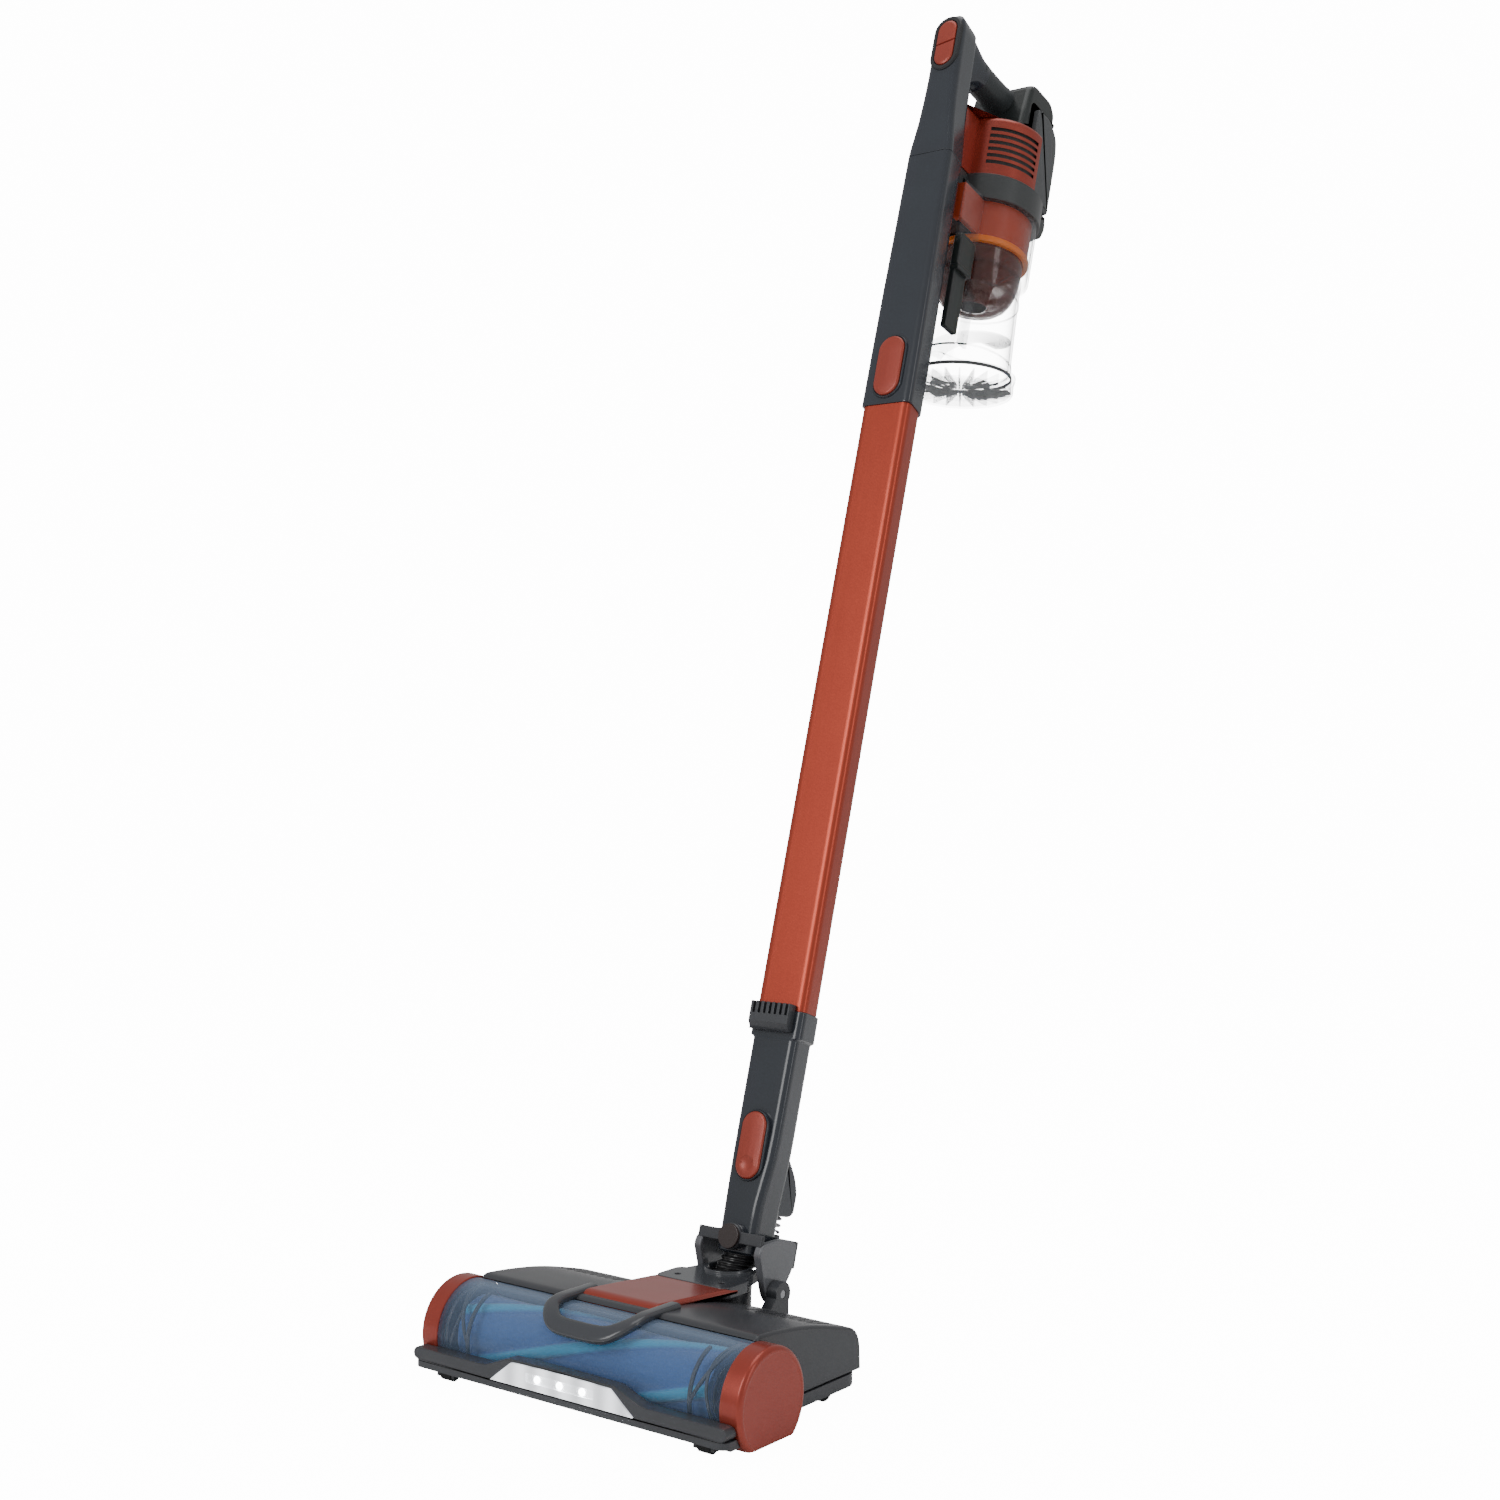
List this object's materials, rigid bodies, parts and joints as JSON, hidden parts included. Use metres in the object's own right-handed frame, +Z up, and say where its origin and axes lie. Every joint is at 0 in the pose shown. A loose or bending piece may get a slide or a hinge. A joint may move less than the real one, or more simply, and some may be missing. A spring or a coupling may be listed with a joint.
{
  "type": "cordless stick vacuum cleaner",
  "caption": "Cordless stick vacuum cleaner: powered floor head with a brush roll, tilting and steering neck, straight wand and a handheld cyclone unit with a clear dust cup.",
  "frame": {"origin": "on the floor, under the middle of the head's front edge", "axes": "+X to the right across the head, +Y backwards from the head's front edge to the stick, +Z up"},
  "size_m": [0.284, 0.6109, 1.073],
  "materials": {
    "copper": "satin metallic",
    "copper_plastic": "metallic gloss",
    "slate": "gloss",
    "charcoal": "satin",
    "black": "matt",
    "grey": "satin",
    "clear": "clear gloss",
    "smoked": "smoked clear",
    "accent": "gloss",
    "steel": "satin",
    "rubber": "matt",
    "filter": "pleated paper",
    "brush": "soft pile",
    "lamp": "frosted white",
    "window": "clear blue"
  },
  "bodies": {
    "handheld": {"lower_duct": "slate", "upper_duct": "slate", "button_bezel": "black", "handle_grip": "charcoal", "handle_root": "black", "motor_housing": "copper_plastic", "motor_can": "steel", "exhaust_filter": "filter", "housing_band": "grey", "separator_top": "copper_plastic", "accent_ring": "accent", "cyclone_cone": "smoked", "mesh_screen": "black", "inlet_port": "charcoal"},
    "power_button": {"power_button": "copper_plastic"},
    "mode_button": {"mode_button": "copper_plastic"},
    "fan": {"motor_shaft": "steel", "fan_impeller": "grey"},
    "battery": {"battery_pack": "grey"},
    "battery_latch": {"battery_latch": "black"},
    "dust_cup": {"dust_cup": "clear", "swirl_vane": "clear", "lid_pin": "steel"},
    "cup_lid": {"cup_lid": "clear", "lid_seal": "rubber"},
    "ejector": {"ejector_slider": "black"},
    "wand_release": {"wand_release": "copper_plastic"},
    "wand": {"wand_tube": "copper", "wand_plug": "charcoal"},
    "neck": {"neck_tube": "slate", "neck_plug": "charcoal", "comb_grille": "charcoal", "neck_spring": "steel"},
    "neck_release": {"neck_release": "copper_plastic"},
    "yoke": {"yoke": "grey", "steer_pins": "black"},
    "head": {"lower_chassis": "charcoal", "upper_cover": "charcoal", "tilt_pins": "steel", "flex_hose": "rubber", "hose_collar": "grey", "top_plate": "copper_plastic", "carry_loop": "charcoal", "front_window": "window", "window_ribs": "charcoal", "end_caps": "copper_plastic", "bumper": "grey", "lamp_panel": "lamp", "lamp_leds": "lamp", "drive_belt": "rubber", "brush_motor": "steel", "sole_screws": "steel"},
    "brush": {"brush_core": "brush", "brush_bristles": "brush", "brush_pulley": "black"},
    "motor_pulley": {"motor_pulley": "black"},
    "wheel_left": {"rear_wheel_left": "rubber"},
    "wheel_right": {"rear_wheel_right": "rubber"},
    "roller_left": {"front_roller_left": "rubber"},
    "roller_right": {"front_roller_right": "rubber"}
  },
  "joints": [
    {"name": "power_press", "type": "slide", "parent": "handheld", "child": "power_button", "axis": [0, 0.9613, -0.2756], "range_m": [0, 0.0012], "stiffness_N_per_m": 500},
    {"name": "mode_press", "type": "slide", "parent": "handheld", "child": "mode_button", "axis": [0, 0.9613, -0.2756], "range_m": [0, 0.0012], "stiffness_N_per_m": 500},
    {"name": "fan_spin", "type": "hinge", "parent": "handheld", "child": "fan", "pos_m": [0, 0.53171, 0.95014], "axis": [0, 0.2756, 0.9613], "continuous": true},
    {"name": "battery_slide", "type": "slide", "parent": "handheld", "child": "battery", "axis": [0, 0.9613, -0.2756], "range_m": [0, 0.045]},
    {"name": "battery_latch_press", "type": "slide", "parent": "battery", "child": "battery_latch", "axis": [0, -0.9613, 0.2756], "range_m": [0, 0.002], "stiffness_N_per_m": 500},
    {"name": "cup_slide", "type": "slide", "parent": "handheld", "child": "dust_cup", "axis": [0, -0.2756, -0.9613], "range_m": [0, 0.06]},
    {"name": "ejector_slide", "type": "slide", "parent": "dust_cup", "child": "ejector", "axis": [0, -0.2756, -0.9613], "range_m": [0, 0.045]},
    {"name": "lid_hinge", "type": "hinge", "parent": "dust_cup", "child": "cup_lid", "pos_m": [0, 0.55264, 0.76079], "axis": [1, 0, 0], "range_deg": [0, 80]},
    {"name": "wand_release_press", "type": "slide", "parent": "handheld", "child": "wand_release", "axis": [0, 0.9613, -0.2756], "range_m": [0, 0.0025], "stiffness_N_per_m": 500},
    {"name": "wand_slide", "type": "slide", "parent": "handheld", "child": "wand", "axis": [0, -0.2756, -0.9613], "range_m": [0, 0.04]},
    {"name": "neck_release_press", "type": "slide", "parent": "neck", "child": "neck_release", "axis": [0, 0.9613, -0.2756], "range_m": [0, 0.002], "stiffness_N_per_m": 500},
    {"name": "neck_slide", "type": "slide", "parent": "wand", "child": "neck", "axis": [0, -0.2756, -0.9613], "range_m": [0, 0.04]},
    {"name": "steer", "type": "hinge", "parent": "neck", "child": "yoke", "pos_m": [0, 0.20426, 0.0803], "axis": [0, 0.9613, -0.2756], "range_deg": [-35, 35], "deforming": ["neck_spring", "flex_hose"]},
    {"name": "tilt", "type": "hinge", "parent": "yoke", "child": "head", "pos_m": [0, 0.195, 0.048], "axis": [1, 0, 0], "range_deg": [-14, 64], "deforming": ["flex_hose"]},
    {"name": "brush_spin", "type": "hinge", "parent": "head", "child": "brush", "pos_m": [0, 0.045, 0.0285], "axis": [1, 0, 0], "continuous": true},
    {"name": "motor_spin", "type": "hinge", "parent": "head", "child": "motor_pulley", "pos_m": [0.08, 0.104, 0.033], "axis": [1, 0, 0], "continuous": true},
    {"name": "wheel_left_spin", "type": "hinge", "parent": "head", "child": "wheel_left", "pos_m": [-0.111, 0.14, 0.01], "axis": [1, 0, 0], "continuous": true},
    {"name": "wheel_right_spin", "type": "hinge", "parent": "head", "child": "wheel_right", "pos_m": [0.111, 0.14, 0.01], "axis": [1, 0, 0], "continuous": true},
    {"name": "roller_left_spin", "type": "hinge", "parent": "head", "child": "roller_left", "pos_m": [-0.115, 0.0125, 0.0049], "axis": [1, 0, 0], "continuous": true},
    {"name": "roller_right_spin", "type": "hinge", "parent": "head", "child": "roller_right", "pos_m": [0.115, 0.0125, 0.0049], "axis": [1, 0, 0], "continuous": true}
  ],
  "couplings": [
    {"joint": "lid_hinge", "follows": "ejector_slide", "rad_per_m": 31},
    {"joint": "motor_spin", "follows": "brush_spin", "ratio": 1.875}
  ]
}
